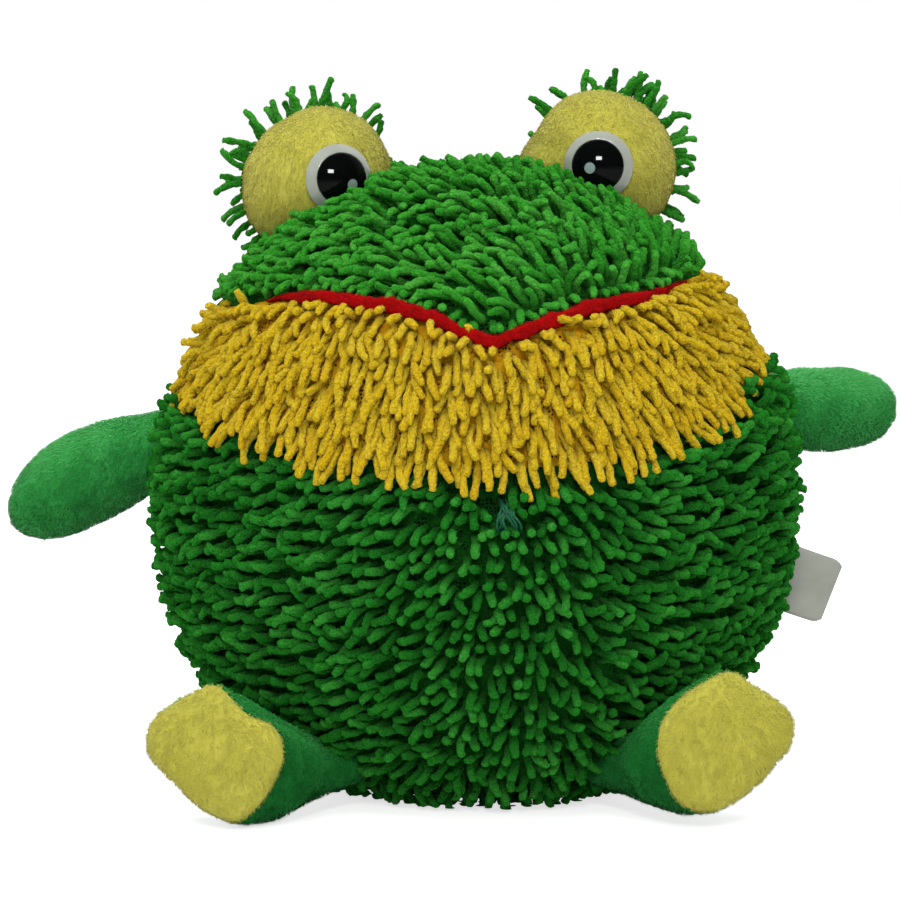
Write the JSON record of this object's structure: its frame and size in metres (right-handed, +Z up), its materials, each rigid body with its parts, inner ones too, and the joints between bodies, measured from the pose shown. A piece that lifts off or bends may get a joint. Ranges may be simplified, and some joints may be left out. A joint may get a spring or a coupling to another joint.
{
  "type": "chenille frog plush toy",
  "caption": "Round stuffed frog toy in combed chenille with a yellow muzzle band, eye pods with safety eyes, plush arms and flat-soled feet.",
  "frame": {"origin": "centre of the flat underside that the toy sits on", "axes": "+Z up, face looks along -Y, +X to the toy's left (the viewer's right)"},
  "size_m": [0.2733, 0.1795, 0.2072],
  "materials": {
    "chenille_green": "chenille noodles on a knitted backing, matt with a soft sheen",
    "chenille_yellow": "chenille noodles on a knitted backing, matt with a soft sheen",
    "plush_green": "short brushed pile",
    "plush_yellow": "short brushed pile",
    "felt_red": "matt felt",
    "stuffing": "loose polyester fibre",
    "label_satin": "woven satin ribbon, bare",
    "thread_teal": "sewing thread",
    "eye_white": "polished white",
    "eye_black": "polished black with a pale printed dot",
    "eye_washer": "natural moulded"
  },
  "bodies": {
    "body": {"crown_panel": "chenille_green", "muzzle_panel": "chenille_yellow", "belly_panel": "chenille_green", "back_panel": "chenille_green", "body_filling": "stuffing", "mouth_strip": "felt_red", "side_label": "label_satin", "thread_tail": "thread_teal"},
    "right_arm": {"right_arm_cover": "plush_green", "right_arm_filling": "stuffing"},
    "left_arm": {"left_arm_cover": "plush_green", "left_arm_filling": "stuffing"},
    "right_leg": {"right_leg_cover": "plush_green", "right_leg_filling": "stuffing", "right_sole_panel": "plush_yellow"},
    "left_leg": {"left_leg_cover": "plush_green", "left_leg_filling": "stuffing", "left_sole_panel": "plush_yellow"},
    "right_eye": {"right_eye_front_panel": "plush_yellow", "right_eye_back_panel": "chenille_green", "right_eye_filling": "stuffing", "right_eye_dome": "eye_white", "right_eye_pupil": "eye_black", "right_eye_washer": "eye_washer"},
    "left_eye": {"left_eye_front_panel": "plush_yellow", "left_eye_back_panel": "chenille_green", "left_eye_filling": "stuffing", "left_eye_dome": "eye_white", "left_eye_pupil": "eye_black", "left_eye_washer": "eye_washer"}
  },
  "joints": [
    {"name": "right_arm_wave", "type": "hinge", "parent": "body", "child": "right_arm", "pos_m": [-0.08593, 0.01173, 0.10354], "axis": [0, 1, 0], "range_deg": [-8, 55], "stiffness_Nm_per_rad": 0.02},
    {"name": "left_arm_wave", "type": "hinge", "parent": "body", "child": "left_arm", "pos_m": [0.08463, 0.01178, 0.11195], "axis": [0.6428, -0.766, 0], "range_deg": [-8, 55], "stiffness_Nm_per_rad": 0.02},
    {"name": "right_leg_splay", "type": "hinge", "parent": "body", "child": "right_leg", "pos_m": [-0.04003, -0.04771, 0.01545], "axis": [0, 0, 1], "range_deg": [-10, 20], "stiffness_Nm_per_rad": 0.02},
    {"name": "left_leg_splay", "type": "hinge", "parent": "body", "child": "left_leg", "pos_m": [0.04003, -0.04771, 0.01545], "axis": [0, 0, -1], "range_deg": [-10, 20], "stiffness_Nm_per_rad": 0.02},
    {"name": "right_eye_nod", "type": "hinge", "parent": "body", "child": "right_eye", "pos_m": [-0.04757, 0.01019, 0.18086], "axis": [-1, 0, 0], "range_deg": [-3, 20], "stiffness_Nm_per_rad": 0.02},
    {"name": "left_eye_nod", "type": "hinge", "parent": "body", "child": "left_eye", "pos_m": [0.03843, 0.01016, 0.18471], "axis": [-1, 0, 0], "range_deg": [-3, 20], "stiffness_Nm_per_rad": 0.02}
  ]
}
